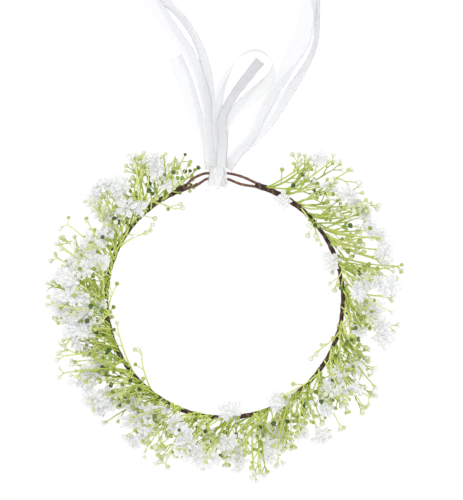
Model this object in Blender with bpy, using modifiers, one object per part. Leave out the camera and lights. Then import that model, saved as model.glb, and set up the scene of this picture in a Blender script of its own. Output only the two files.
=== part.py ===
"""Flower crown: a taped wire hoop set with baby's-breath sprigs, tied at the back with an organza ribbon.

Metres, +Z up. The crown lies flat. The origin is the middle of the head opening, on the resting surface.
+Y is the back of the head, where the ribbon is. Sprigs are counted clockwise, seen from above.
"""

import math
import random

import bmesh
import bpy
from mathutils import Matrix, Vector

UP = Vector((0, 0, 1))
GAP = 0.0003  # air left between pieces that touch

# Hoop
HEAD_OPENING = 0.175  # clear diameter inside the taped hoop
HOOP_HEIGHT = 0.024  # centre line above the resting surface
WIRE_DIAMETER = 0.0016
TAPE_CLEARANCE = 0.00035  # air all round between the wire and the tape
TAPE_THICKNESS = 0.0006
HOOP_STEPS = 40  # straight runs round the hoop

# End loops and the coils that bind them to the hoop
EYELET_WIRE = 0.0020
EYELET_GAP = 0.0036  # widest clear gap between an end loop's two legs
EYELET_TIP_RADIUS = 0.0016
EYELET_RUN = 0.0028  # longest straight run of a leg
EYELET_LEG_APART = 0.0008  # clear gap between the legs inside a binding
EYELET_TIPS_APART = 0.0011  # clear gap between the two loops' round tips, inside the knot
EYELET_TIP_STEPS = 6
EYELET_WIDE_SHARE = 0.61  # how far from the binding to the knot a loop is at its widest
EYELET_STRAIGHT = 1.3  # where a loop runs straight into the knot, in half knot lengths from its centre
BINDING_LENGTH = 0.012
BINDING_WALL = 0.0005
BINDING_GRIP = 0.005  # how deep the hoop wire and the legs each go in
BINDING_COILS = 4
BINDING_SIDES = 12
RIGHT_BINDING = math.radians(71)  # where each binding sits round the hoop
LEFT_BINDING = math.radians(112.6)

# Ribbon
KNOT_PLACE = math.radians(93.66)  # round the hoop
KNOT_BACK = 0.0035  # knot's centre behind the hoop's rearmost point
KNOT_CLEARANCE = 0.0020  # air between the loops' tips and the bore, where the legs spread
KNOT_WALL = 0.0038
KNOT_LENGTH = 0.0135
KNOT_SPLAY = 0.0007  # how much wider the knot is near its ends than at its waist
KNOT_SPLAY_SHARE = 0.72  # of the half length, where it is widest
KNOT_ROUNDING = 0.0012
KNOT_LEAD_IN = 0.0006  # flare of the bore's mouth
KNOT_SIDES = 16
STRAND_CLEARANCE = 0.0006  # air between the knot and the start of each strand
RIBBON_THICKNESS = 0.0004
RIBBON_LAYER = 0.0015  # rise from one ribbon layer to the next
RIBBON_MIDDLE_LAYER = 2.5  # the layer that leaves the knot at the hoop's height
RIBBON_DROP_RUN = 0.034  # ground covered on the way down to the surface
RIBBON_RUN = 0.0075  # longest straight run of a ribbon lying flat
RIBBON_DROP_STEP = 0.0042  # and of one on its way down

# Sprigs
SPRIG_COUNT = 21
FIRST_ROOT = math.radians(64)
LAST_ROOT = math.radians(64 - 300)
STEM_DIAMETER = 0.0014
BRANCH_DIAMETER = 0.0010
BUD_DIAMETER = 0.0035
FLOWER_DIAMETER = 0.0185
FLOWER_DEPTH = 0.0065
FLOWER_NOTCH = 0.74  # notch radius over petal radius
FLOWER_PETALS = 5
FLOWER_RINGS = 5
FLOWER_TURN_UP = (0.6, 0.8)  # how much a blossom faces along its stem and how much it faces up
SPRIG_LEAD = (0.020, 0.029)  # run along the hoop, least and most
SPRIG_REACH = (0.023, 0.038)  # run outward
SPRIG_RISE = (-0.006, 0.019)
STEM_STEPS = 4
STEM_CURVE = 1.5  # how late along its run a stem swings outward
STEM_ARCH = 1.4  # and how late it climbs
BRANCH_LENGTH = 0.0145
BRANCH_ANGLE = math.radians(56)  # between a branch and its stem
BRANCH_TAPER = 0.8  # tip over foot
BRANCH_LOW = (0.30, 0.36)  # share of the stem where the branch that rests on the surface leaves
BRANCH_UPPER = 0.5
BRANCH_SIDE = 0.7
BRANCH_TURN = (-20, 20)  # degrees that the upper branches are turned about the stem
SEED = 7

# Blossoms laid over the hoop itself: degrees round the hoop, diameter, and how far in from the centre line
HOOP_BLOSSOM_LEAN = 0.3  # how far they lean toward the middle
HOOP_BLOSSOMS = (
    (20, 0.0150, 0.0040),
    (59, 0.0115, 0.0020),
    (-62, 0.0165, 0.0022),
    (-88, 0.0165, 0.0045),
)

# Ribbon routes as laid, from the knot's centre: x, y, layer, width, and tilt in degrees from flat.
# A y of 0 stands for the place where that layer meets the knot.
LONG_LOOP_LEFT = (
    (-0.0030, 0, 1.0, 0.0075, 0),
    (-0.0044, 0.0349, 1.0, 0.0088, 0),
    (-0.0058, 0.0575, 1.0, 0.0090, 0),
    (-0.0078, 0.0787, 1.0, 0.0080, 0),
    (-0.0116, 0.0952, 1.0, 0.0066, 0),
    (-0.0185, 0.1103, 1.0, 0.0058, 0),
    (-0.0274, 0.1231, 1.0, 0.0055, 0),
    (-0.0372, 0.1329, 1.0, 0.0065, 0),
    (-0.0505, 0.1450, 1.2, 0.0105, 0),
    (-0.0611, 0.1548, 2.0, 0.0130, 0),
    (-0.0637, 0.1572, 3.6, 0.0130, 0),
    (-0.0605, 0.1534, 5.0, 0.0130, 0),
    (-0.0543, 0.1437, 4.4, 0.0130, 0),
    (-0.0483, 0.1329, 3.4, 0.0115, 0),
    (-0.0317, 0.1096, 2.2, 0.0095, 0),
    (-0.0230, 0.0975, 2.0, 0.0090, 0),
    (-0.0164, 0.0854, 2.0, 0.0085, 0),
    (-0.0119, 0.0726, 2.0, 0.0080, 0),
    (-0.0085, 0.0575, 2.0, 0.0080, 0),
    (-0.0061, 0.0349, 2.0, 0.0080, 0),
    (-0.0038, 0, 2.0, 0.0075, 0),
)
LONG_LOOP_RIGHT = (
    (0.0083, 0, 0.0, 0.0070, 0),
    (0.0173, 0.0198, 0.0, 0.0085, 0),
    (0.0271, 0.0289, 0.0, 0.0095, 0),
    (0.0407, 0.0455, 0.0, 0.0100, 0),
    (0.0514, 0.0606, 0.0, 0.0088, 0),
    (0.0618, 0.0756, 0.0, 0.0066, 0),
    (0.0715, 0.0922, 0.0, 0.0046, 0),
    (0.0759, 0.1058, 0.0, 0.0042, 0),
    (0.0767, 0.1209, 0.0, 0.0046, 0),
    (0.0760, 0.1329, 0.0, 0.0065, 0),
    (0.0745, 0.1465, 0.3, 0.0115, 0),
    (0.0725, 0.1566, 1.2, 0.0130, 0),
    (0.0717, 0.1594, 2.8, 0.0130, 0),
    (0.0712, 0.1562, 4.2, 0.0130, 0),
    (0.0701, 0.1465, 3.6, 0.0130, 0),
    (0.0698, 0.1329, 2.4, 0.0130, 0),
    (0.0682, 0.1190, 1.4, 0.0130, 0),
    (0.0642, 0.1050, 1.0, 0.0140, 0),
    (0.0573, 0.0920, 1.0, 0.0130, 0),
    (0.0508, 0.0787, 1.0, 0.0100, 0),
    (0.0432, 0.0650, 1.0, 0.0085, 0),
    (0.0335, 0.0480, 1.0, 0.0085, 0),
    (0.0252, 0.0310, 1.0, 0.0088, 0),
    (0.0163, 0.0196, 1.0, 0.0085, 0),
    (0.0079, 0, 1.0, 0.0070, 0),
)
SMALL_LOOP = (
    (0.0015, 0, 3.0, 0.0070, 0),
    (0.0007, 0.0349, 3.0, 0.0075, 0),
    (0.0000, 0.0538, 3.0, 0.0080, 8),
    (0.0029, 0.0672, 3.0, 0.0100, 42),
    (0.0082, 0.0787, 3.0, 0.0115, 66),
    (0.0152, 0.0894, 2.6, 0.0130, 84),
    (0.0257, 0.0962, 2.2, 0.0130, 90),
    (0.0354, 0.0945, 2.2, 0.0130, 90),
    (0.0414, 0.0880, 2.4, 0.0130, 82),
    (0.0419, 0.0800, 2.8, 0.0130, 66),
    (0.0363, 0.0708, 3.4, 0.0125, 42),
    (0.0264, 0.0613, 4.0, 0.0110, 14),
    (0.0164, 0.0532, 4.0, 0.0090, 0),
    (0.0090, 0.0455, 4.0, 0.0080, 0),
    (0.0052, 0.0349, 4.0, 0.0075, 0),
    (0.0037, 0, 4.0, 0.0070, 0),
)
SHORT_TAIL_LEFT = (
    (-0.0055, 0, 0.0, 0.0070, 0),
    (-0.0085, 0.0221, 0.0, 0.0080, 0),
    (-0.0145, 0.0425, 0.0, 0.0095, 0),
    (-0.0204, 0.0613, 0.0, 0.0110, 0),
    (-0.0264, 0.0780, 0.0, 0.0122, 0),
    (-0.0325, 0.0930, 0.0, 0.0110, 0),
)
SHORT_TAIL_RIGHT = (
    (0.0027, 0, 5.0, 0.0070, 0),
    (0.0045, 0.0266, 5.0, 0.0070, 0),
    (0.0036, 0.0432, 5.0, 0.0066, 0),
    (0.0068, 0.0528, 5.0, 0.0064, 0),
    (0.0132, 0.0634, 4.8, 0.0066, 0),
    (0.0220, 0.0754, 4.4, 0.0074, 0),
    (0.0328, 0.0892, 4.2, 0.0080, 0),
)
RIBBON_ROUTES = {
    "long_loop_left": LONG_LOOP_LEFT,
    "long_loop_right": LONG_LOOP_RIGHT,
    "small_loop": SMALL_LOOP,
    "short_tail_left": SHORT_TAIL_LEFT,
    "short_tail_right": SHORT_TAIL_RIGHT,
}

# Sizes that follow from the ones above
TAPE_RADIUS = WIRE_DIAMETER / 2 + TAPE_CLEARANCE + TAPE_THICKNESS
HOOP_RADIUS = HEAD_OPENING / 2 + TAPE_RADIUS
EYELET_LEG_SPREAD = (EYELET_WIRE + EYELET_LEG_APART) / 2  # each leg's offset inside a binding
KNOT_CENTRE = Vector((HOOP_RADIUS * math.cos(KNOT_PLACE), HOOP_RADIUS + KNOT_BACK, HOOP_HEIGHT))
KNOT_BORE_RADIUS = EYELET_TIP_RADIUS + EYELET_WIRE / 2 + KNOT_CLEARANCE
KNOT_RADIUS = KNOT_BORE_RADIUS + KNOT_WALL
BINDING_SWEEP = (BINDING_LENGTH / 2 + GAP) / HOOP_RADIUS  # half a binding, as an angle round the hoop
ROOT_STEP = (LAST_ROOT - FIRST_ROOT) / (SPRIG_COUNT - 1)
ROOT_PITCH = abs(ROOT_STEP) * HOOP_RADIUS
RIBBON_RISE = HOOP_HEIGHT - RIBBON_THICKNESS / 2 - RIBBON_MIDDLE_LAYER * RIBBON_LAYER


# --- scene, materials and objects ---


def clear_scene():
    for old in list(bpy.data.objects):
        bpy.data.objects.remove(old)


def new_collection(name):
    collection = bpy.data.collections.new(name)
    bpy.context.scene.collection.children.link(collection)
    return collection


def new_material(name, colour, roughness, metallic=0.0):
    material = bpy.data.materials.new(name)
    material.use_nodes = True
    shader = material.node_tree.nodes["Principled BSDF"]
    shader.inputs["Base Color"].default_value = (*colour, 1)
    shader.inputs["Roughness"].default_value = roughness
    shader.inputs["Metallic"].default_value = metallic
    return material


def new_object(name, data, collection, material=None):
    piece = bpy.data.objects.new(name, data)
    if material is not None:
        data.materials.append(material)
    collection.objects.link(piece)
    return piece


def mesh_from(form, name):
    """A mesh datablock from a bmesh, shaded smooth."""
    mesh = bpy.data.meshes.new(name)
    form.to_mesh(mesh)
    form.free()
    mesh.shade_smooth()
    mesh.set_sharp_from_angle(angle=math.radians(40))
    return mesh


def tube_curve(name, points, radius, sides, caps=True):
    """A straight-run curve with a round bevel; sides is 4, 6, 8 and so on."""
    curve = bpy.data.curves.new(name, "CURVE")
    curve.dimensions = "3D"
    curve.bevel_depth = radius
    curve.bevel_resolution = (sides - 4) // 2
    curve.use_fill_caps = caps
    spline = curve.splines.new("POLY")
    spline.points.add(len(points) - 1)
    for place, point in zip(spline.points, points):
        place.co = (*point, 1)
    return curve


def welded_mesh(name, curve):
    """The mesh of a capped curve, with its loose caps welded on."""
    guide = bpy.data.objects.new(name, curve)
    bpy.context.scene.collection.objects.link(guide)
    bpy.context.view_layer.update()
    graph = bpy.context.evaluated_depsgraph_get()
    mesh = bpy.data.meshes.new_from_object(guide.evaluated_get(graph))
    bpy.data.objects.remove(guide)
    bpy.data.curves.remove(curve)
    form = bmesh.new()
    form.from_mesh(mesh)
    bmesh.ops.remove_doubles(form, verts=form.verts, dist=1e-6)
    bmesh.ops.recalc_face_normals(form, faces=form.faces)
    form.to_mesh(mesh)
    form.free()
    return mesh


# --- geometry helpers ---


def mix(low, high, share):
    return low + (high - low) * share


def hoop_frame(angle):
    """The point on the hoop's centre line, and the outward and clockwise directions there."""
    outward = Vector((math.cos(angle), math.sin(angle), 0))
    clockwise = Vector((math.sin(angle), -math.cos(angle), 0))
    return outward * HOOP_RADIUS + UP * HOOP_HEIGHT, outward, clockwise


def hoop_arc(start, end):
    """Points along the hoop's centre line, on the same straight runs for the wire and for its tape."""
    run = math.tau / HOOP_STEPS
    first = math.floor(start / run) + 1
    last = math.ceil(end / run) - 1
    angles = [start] + [index * run for index in range(first, last + 1)] + [end]
    return [hoop_frame(angle)[0] for angle in angles]


def smooth_route(rows, longest_run):
    """Rows on a Catmull-Rom curve through the given rows; longest_run gives the spacing after a row."""
    rows = [Vector(row) for row in rows]
    ends = [rows[0] * 2 - rows[1]] + rows + [rows[-1] * 2 - rows[-2]]
    route = []
    for index in range(len(rows) - 1):
        before, here, there, after = ends[index : index + 4]
        steps = math.ceil((there.xy - here.xy).length / longest_run(here, there))
        for step in range(steps):
            t = step / steps
            route.append(
                (
                    here * 2
                    + (there - before) * t
                    + (before * 2 - here * 5 + there * 4 - after) * t * t
                    + (here * 3 - before - there * 3 + after) * t**3
                )
                / 2
            )
    route.append(rows[-1])
    return route


def axes_to(direction):
    """A rotation whose local Z lies along direction."""
    return direction.to_track_quat("Z", "Y").to_matrix().to_4x4()


# --- hoop ---


def hoop_wire(parts, material):
    inset = (BINDING_LENGTH / 2 - BINDING_GRIP) / HOOP_RADIUS
    points = hoop_arc(LEFT_BINDING + inset, RIGHT_BINDING + math.tau - inset)
    new_object("hoop_wire", tube_curve("hoop_wire", points, WIRE_DIAMETER / 2, 6), parts, material)


def hoop_tape(parts, material):
    """The tape wound round the hoop: a sleeve, open at both ends."""
    points = hoop_arc(LEFT_BINDING + BINDING_SWEEP, RIGHT_BINDING + math.tau - BINDING_SWEEP)
    tube = tube_curve("hoop_tape", points, TAPE_RADIUS, 8, caps=False)
    sleeve = new_object("hoop_tape", tube, parts, material)
    wall = sleeve.modifiers.new("wall", "SOLIDIFY")
    wall.thickness = TAPE_THICKNESS
    wall.offset = -1


def eyelet(name, angle, clockwise_side, route, parts, material):
    """A folded piece of wire: two legs from the binding, spread to an open loop that closes at the knot.

    route is the loop's centre line from the binding's mouth to the middle of its round tip.
    """
    centre, _, clockwise = hoop_frame(angle)
    toward_knot = clockwise if clockwise_side else -clockwise
    mouth = centre + toward_knot * (BINDING_LENGTH / 2)
    seat = mouth - toward_knot * BINDING_GRIP
    spread = (EYELET_GAP + EYELET_WIRE) / 2
    widest, straight, end = route
    bends = [
        (seat, EYELET_LEG_SPREAD),
        (mouth, EYELET_LEG_SPREAD),
        (widest, spread),
        (straight, (spread + EYELET_TIP_RADIUS) / 2),
        (end, EYELET_TIP_RADIUS),
    ]
    middle = smooth_route([(*point, half) for point, half in bends], lambda here, there: EYELET_RUN)
    left_leg, right_leg = [], []
    for index, row in enumerate(middle):
        ahead = middle[min(index + 1, len(middle) - 1)] - middle[max(index - 1, 0)]
        side = Vector((-ahead.y, ahead.x, 0)).normalized() * row[3]
        left_leg.append(row.xyz + side)
        right_leg.append(row.xyz - side)
    tip = middle[-1].xyz
    forward = (tip - middle[-2].xyz).normalized()
    side = Vector((-forward.y, forward.x, 0))
    turns = [math.pi * step / EYELET_TIP_STEPS for step in range(1, EYELET_TIP_STEPS)]
    bend = [tip + (side * math.cos(a) + forward * math.sin(a)) * EYELET_TIP_RADIUS for a in turns]
    points = left_leg + bend + right_leg[::-1]
    new_object(name, tube_curve(name, points, EYELET_WIRE / 2, 6), parts, material)


def eyelets(parts, material):
    tips_apart = Vector((EYELET_TIPS_APART / 2 + EYELET_WIRE / 2 + EYELET_TIP_RADIUS, 0, 0))
    straight = Vector((EYELET_STRAIGHT * KNOT_LENGTH / 2, 0, 0))
    for name, angle, side in (("left_eyelet", LEFT_BINDING, -1), ("right_eyelet", RIGHT_BINDING, 1)):
        entry = KNOT_CENTRE + side * straight
        widest = hoop_frame(angle)[0].lerp(entry, EYELET_WIDE_SHARE)
        eyelet(name, angle, side < 0, (widest, entry, KNOT_CENTRE + side * tips_apart), parts, material)


def binding(name, angle, parts, material):
    """Tape coiled round the hoop wire's end and an end loop's legs: a flat sleeve with a ridge a turn."""
    centre, outward, clockwise = hoop_frame(angle)
    form = bmesh.new()
    rings = []
    for row in range(2 * BINDING_COILS + 1):
        bore = EYELET_WIRE / 2 + GAP + (GAP if row % 2 else 0)
        along = BINDING_LENGTH * (row / (2 * BINDING_COILS) - 0.5)
        ring = []
        for step in range(BINDING_SIDES):
            turn = math.tau * (step + 0.5) / BINDING_SIDES
            shift = math.copysign(EYELET_LEG_SPREAD, math.cos(turn))
            place = outward * (shift + bore * math.cos(turn)) + UP * bore * math.sin(turn)
            ring.append(form.verts.new(centre + place + clockwise * along))
        rings.append(ring)
    for ring, following in zip(rings, rings[1:]):
        for step in range(BINDING_SIDES):
            ahead = (step + 1) % BINDING_SIDES
            form.faces.new((ring[step], ring[ahead], following[ahead], following[step]))
    bmesh.ops.recalc_face_normals(form, faces=form.faces)
    sleeve = new_object(name, mesh_from(form, name), parts, material)
    wall = sleeve.modifiers.new("wall", "SOLIDIFY")
    wall.thickness = BINDING_WALL
    wall.offset = 1


# --- ribbon ---


def meets_knot(layer):
    """How far behind the knot's centre a strand on this layer starts, just clear of the knot."""
    off_centre = (layer - RIBBON_MIDDLE_LAYER) * RIBBON_LAYER
    return math.sqrt((KNOT_RADIUS + KNOT_SPLAY) ** 2 - off_centre**2) + STRAND_CLEARANCE


def drop_height(behind):
    """Height that the ribbon still has above its resting layer, this far behind the knot's centre."""
    share = 1 - (behind - KNOT_RADIUS - KNOT_SPLAY) / RIBBON_DROP_RUN
    share = min(max(share, 0), 1)
    return RIBBON_RISE * share * share * (3 - 2 * share)


def ribbon_run(here, there):
    """The longest straight run between two route points: shorter on the way down from the knot."""
    on_the_way_down = min(here.y, there.y) < KNOT_RADIUS + RIBBON_DROP_RUN
    return RIBBON_DROP_STEP if on_the_way_down else RIBBON_RUN


def ribbon_strip(name, rows, knot, parts, material):
    """A strip of ribbon along its route. Its lower edge keeps to its layer, even standing on edge."""
    bends = [
        (x, y or meets_knot(layer), layer, width, math.radians(tilt))
        for x, y, layer, width, tilt in rows
    ]
    route = smooth_route(bends, ribbon_run)
    form = bmesh.new()
    edges = []
    across = Vector((1, 0))
    for index, (x, y, layer, width, tilt) in enumerate(route):
        ahead = route[min(index + 1, len(route) - 1)].xyz - route[max(index - 1, 0)].xyz
        ahead.z *= RIBBON_LAYER
        flat = Vector((ahead.y, -ahead.x))
        if flat.length > 0.2 * ahead.length:
            across = flat.normalized() * math.copysign(1, flat.dot(across))
        pair = []
        for share in (-0.5, 0.5):
            place = Vector((x, y)) + across * width * share * math.cos(tilt)
            low = RIBBON_THICKNESS / 2 + layer * RIBBON_LAYER + drop_height(place.y)
            height = low + width * (share + 0.5) * math.sin(tilt)
            pair.append(form.verts.new((KNOT_CENTRE.x + place.x, KNOT_CENTRE.y + place.y, height)))
        edges.append(pair)
    for here, there in zip(edges, edges[1:]):
        form.faces.new((here[0], here[1], there[1], there[0]))
    strip = new_object(name, mesh_from(form, name), parts, material)
    cloth = strip.modifiers.new("cloth", "SOLIDIFY")
    cloth.thickness = RIBBON_THICKNESS
    cloth.offset = 0
    hang_from(strip, knot)


def ribbon_knot(knot, parts, material):
    """The knot as a thick ring round both loop tips, turned about the swing axis."""
    half = KNOT_LENGTH / 2
    splay = half * KNOT_SPLAY_SHARE
    outline = [
        (KNOT_RADIUS + KNOT_SPLAY - KNOT_ROUNDING, half),
        (KNOT_RADIUS + KNOT_SPLAY, splay),
        (KNOT_RADIUS, 0),
        (KNOT_RADIUS + KNOT_SPLAY, -splay),
        (KNOT_RADIUS + KNOT_SPLAY - KNOT_ROUNDING, -half),
        (KNOT_BORE_RADIUS + KNOT_LEAD_IN, -half),
        (KNOT_BORE_RADIUS, -splay),
        (KNOT_BORE_RADIUS, splay),
        (KNOT_BORE_RADIUS + KNOT_LEAD_IN, half),
    ]
    form = bmesh.new()
    corners = [form.verts.new((radius, 0, along)) for radius, along in outline]
    for here, there in zip(corners, corners[1:] + corners[:1]):
        form.edges.new((here, there))
    ring = new_object("ribbon_knot", mesh_from(form, "ribbon_knot"), parts, material)
    turn = ring.modifiers.new("turn", "SCREW")
    turn.axis = "Z"
    turn.steps = turn.render_steps = KNOT_SIDES
    turn.use_merge_vertices = True
    turn.merge_threshold = 0.00001
    ring.parent = knot
    ring.rotation_euler = (0, math.pi / 2, 0)


def hang_from(piece, holder):
    """Parents a piece to its holder and leaves it where it is."""
    piece.parent = holder
    piece.matrix_parent_inverse = Matrix.Translation(-holder.location)


def ribbon(parts, material):
    knot = bpy.data.objects.new("swing_axis", None)
    knot.location = KNOT_CENTRE
    parts.objects.link(knot)
    ribbon_knot(knot, parts, material)
    for name, rows in RIBBON_ROUTES.items():
        ribbon_strip(name, rows, knot, parts, material)


# --- sprigs and flowers ---


class Sprig:
    """One bunch of moulded stems: its root on the hoop, its main stem's run and its side branches."""

    def __init__(self, index, dice):
        centre, self.outward, self.clockwise = hoop_frame(FIRST_ROOT + index * ROOT_STEP)
        self.root = centre + self.outward * (TAPE_RADIUS + STEM_DIAMETER / 2 + GAP)
        self.lead = mix(*SPRIG_LEAD, dice.random())
        self.reach = mix(*SPRIG_REACH, dice.random())
        self.rise = mix(*SPRIG_RISE, dice.random())
        self.low_share = mix(*BRANCH_LOW, dice.random())
        self.side_turn = mix(*BRANCH_TURN, dice.random())

    def at(self, share):
        """The point this far along the main stem, from 0 at the root to 1 at the tip."""
        run = self.clockwise * self.lead * share + self.outward * self.reach * share**STEM_CURVE
        return self.root + run + UP * self.rise * share**STEM_ARCH

    def heading(self, share):
        return (self.at(share + 0.02) - self.at(share - 0.02)).normalized()

    def branch_heading(self, share, turn):
        """A direction off the main stem. turn is 0 to the right of travel, 90 up and 270 down."""
        ahead = self.heading(share)
        right = ahead.cross(UP).normalized()
        rise = right.cross(ahead)
        turn = math.radians(turn)
        away = right * math.cos(turn) + rise * math.sin(turn)
        return ahead * math.cos(BRANCH_ANGLE) + away * math.sin(BRANCH_ANGLE)

    def branches(self):
        """Each side branch as its start, its direction and its length to the bud's centre."""
        low = self.branch_heading(self.low_share, 270)
        drop = self.at(self.low_share).z - BUD_DIAMETER / 2
        yield self.at(self.low_share), low, drop / -low.z
        upper = self.branch_heading(BRANCH_UPPER, 90 + self.side_turn)
        yield self.at(BRANCH_UPPER), upper, BRANCH_LENGTH
        side = self.branch_heading(BRANCH_SIDE, self.side_turn - 25)
        yield self.at(BRANCH_SIDE), side, min(BRANCH_LENGTH, ROOT_PITCH / 2)


def cone_between(form, start, end, start_radius, end_radius, sides):
    run = end - start
    place = Matrix.Translation((start + end) / 2) @ axes_to(run)
    bmesh.ops.create_cone(
        form,
        cap_ends=True,
        segments=sides,
        radius1=start_radius,
        radius2=end_radius,
        depth=run.length,
        matrix=place,
    )


def sprig_solid(name, sprig, parts, helpers, material):
    """The main stem as a tube, with its branches and their buds joined on."""
    points = [sprig.at(step / STEM_STEPS) for step in range(STEM_STEPS + 1)]
    stem_mesh = welded_mesh(name, tube_curve(name, points, STEM_DIAMETER / 2, 6))
    stem = new_object(name, stem_mesh, parts, material)
    form = bmesh.new()
    foot = BRANCH_DIAMETER / 2
    for start, heading, length in sprig.branches():
        cone_between(form, start, start + heading * length, foot, foot * BRANCH_TAPER, 5)
        bud_place = Matrix.Translation(start + heading * length)
        bmesh.ops.create_uvsphere(
            form, u_segments=6, v_segments=4, radius=BUD_DIAMETER / 2, matrix=bud_place
        )
    branches = new_object(name + "_branches", mesh_from(form, name + "_branches"), helpers)
    branches.hide_render = True
    branches.display_type = "WIRE"
    join = stem.modifiers.new("branches", "BOOLEAN")
    join.operation = "UNION"
    join.object = branches
    join.use_self = True


def flower_mesh():
    """A blossom of unit diameter and depth: a lobed dome on a shallow cone, its foot at the origin."""
    form = bmesh.new()
    bmesh.ops.create_uvsphere(form, u_segments=2 * FLOWER_PETALS, v_segments=FLOWER_RINGS, radius=1)
    for corner in form.verts:
        radius = math.hypot(corner.co.x, corner.co.y)
        notch = round(math.atan2(corner.co.y, corner.co.x) / math.tau * 2 * FLOWER_PETALS) % 2
        fullness = 0.5 * (FLOWER_NOTCH if notch and radius > 0.1 else 1)
        corner.co = (corner.co.x * fullness, corner.co.y * fullness, (corner.co.z + 1) / 2)
    return mesh_from(form, "flower")


def flower(name, foot, facing, diameter, depth, mesh, parts):
    blossom = new_object(name, mesh, parts)
    blossom.matrix_world = (
        Matrix.Translation(foot) @ axes_to(facing) @ Matrix.Diagonal((diameter, diameter, depth, 1))
    )


def sprigs(parts, helpers, stem_material, petal_material):
    dice = random.Random(SEED)
    mesh = flower_mesh()
    mesh.materials.append(petal_material)
    for index in range(SPRIG_COUNT):
        sprig = Sprig(index, dice)
        sprig_solid(f"sprig_{index + 1:02d}", sprig, parts, helpers, stem_material)
        ahead = sprig.heading(1)
        facing = (ahead * FLOWER_TURN_UP[0] + UP * FLOWER_TURN_UP[1]).normalized()
        flower(
            f"flower_{index + 1:02d}",
            sprig.at(1) + ahead * (GAP + STEM_DIAMETER / 2),
            facing,
            FLOWER_DIAMETER,
            FLOWER_DEPTH,
            mesh,
            parts,
        )
    for index, (angle, diameter, inward) in enumerate(HOOP_BLOSSOMS):
        centre, outward, _ = hoop_frame(math.radians(angle))
        foot = centre - outward * inward + UP * (TAPE_RADIUS + GAP)
        facing = (UP - outward * HOOP_BLOSSOM_LEAN).normalized()
        flower(f"hoop_flower_{index + 1}", foot, facing, diameter, FLOWER_DEPTH, mesh, parts)


def build():
    clear_scene()
    parts = new_collection("flower_crown")
    helpers = new_collection("helpers")
    steel = new_material("wire_steel", (0.45, 0.44, 0.42), 0.4, 1.0)
    tape = new_material("brown_tape", (0.16, 0.07, 0.035), 0.8)
    stem = new_material("stem_plastic", (0.36, 0.50, 0.08), 0.45)
    petal = new_material("petal_fabric", (0.93, 0.94, 0.92), 0.75)
    organza = new_material("organza", (0.90, 0.90, 0.92), 0.5)
    hoop_wire(parts, steel)
    hoop_tape(parts, tape)
    eyelets(parts, tape)
    binding("left_binding", LEFT_BINDING, parts, tape)
    binding("right_binding", RIGHT_BINDING, parts, tape)
    ribbon(parts, organza)
    sprigs(parts, helpers, stem, petal)


build()
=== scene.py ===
"""Finished look of the flower crown, in metres and in the frame of the CAD part.

Moulded baby's-breath sprigs and cut-petal blossoms are bound to a taped wire hoop. Two wire loops close it at
the back, with an organza ribbon tied through them.
"""

import math
import random

import bpy
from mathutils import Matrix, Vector, noise


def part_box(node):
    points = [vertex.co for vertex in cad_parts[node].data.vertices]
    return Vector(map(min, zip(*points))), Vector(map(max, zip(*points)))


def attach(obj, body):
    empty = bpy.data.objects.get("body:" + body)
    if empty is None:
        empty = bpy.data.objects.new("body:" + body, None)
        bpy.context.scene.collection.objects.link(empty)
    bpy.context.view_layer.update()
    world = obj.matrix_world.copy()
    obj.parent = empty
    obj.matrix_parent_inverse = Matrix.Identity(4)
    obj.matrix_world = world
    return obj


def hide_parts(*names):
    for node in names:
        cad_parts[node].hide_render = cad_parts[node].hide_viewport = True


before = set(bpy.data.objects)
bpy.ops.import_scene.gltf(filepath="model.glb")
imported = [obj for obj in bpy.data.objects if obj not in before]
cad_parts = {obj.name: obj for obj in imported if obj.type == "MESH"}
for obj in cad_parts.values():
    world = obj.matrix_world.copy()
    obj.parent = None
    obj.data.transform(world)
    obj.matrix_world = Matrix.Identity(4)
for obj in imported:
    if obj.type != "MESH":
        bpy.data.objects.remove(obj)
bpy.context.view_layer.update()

UP = Vector((0, 0, 1))
MM = 0.001

# Hoop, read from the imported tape
tape_low, tape_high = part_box("hoop_tape")
TAPE_RADIUS = (tape_high.z - tape_low.z) / 2
HOOP_HEIGHT = (tape_high.z + tape_low.z) / 2
HOOP_RADIUS = (tape_high.x - tape_low.x) / 2 - TAPE_RADIUS
LEFT_BINDING = math.radians(112.6)
RIGHT_BINDING = math.radians(71)
BINDING_LENGTH = 12 * MM

# Knot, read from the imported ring
knot_low, knot_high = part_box("ribbon_knot")
KNOT_CENTRE = (knot_low + knot_high) / 2
KNOT_RADIUS = (knot_high.z - knot_low.z) / 2
KNOT_LENGTH = knot_high.x - knot_low.x

# Sprigs
SPRIG_COUNT = 21
FIRST_ROOT = 64  # degrees round the hoop
ROOT_STEP = -15
ROOT_LEAD = 13  # degrees that a bunch's stems reach ahead of its root
BUNCH_SEED = 4100
LOWEST_TIP = 6 * MM
HIGHEST_TIP = 48 * MM
REAR_LIMIT = 106 * MM  # behind this, tips are eased back off the ribbon
RIM = 136 * MM  # the wreath's outer edge, from the middle of the head opening
RIM_MARGIN = 4 * MM  # that a stem's tip keeps inside the rim
INNER_REACH = 9 * MM  # how far inside the hoop's centre line a tip may lie before it's eased out

# Ribbon
RIBBON_WIDTH = 15 * MM
RIBBON_LAYER = 1.5 * MM
RIBBON_MIDDLE_LAYER = 2.5
RIBBON_DROP_RUN = 34 * MM


# --- materials ---


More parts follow.
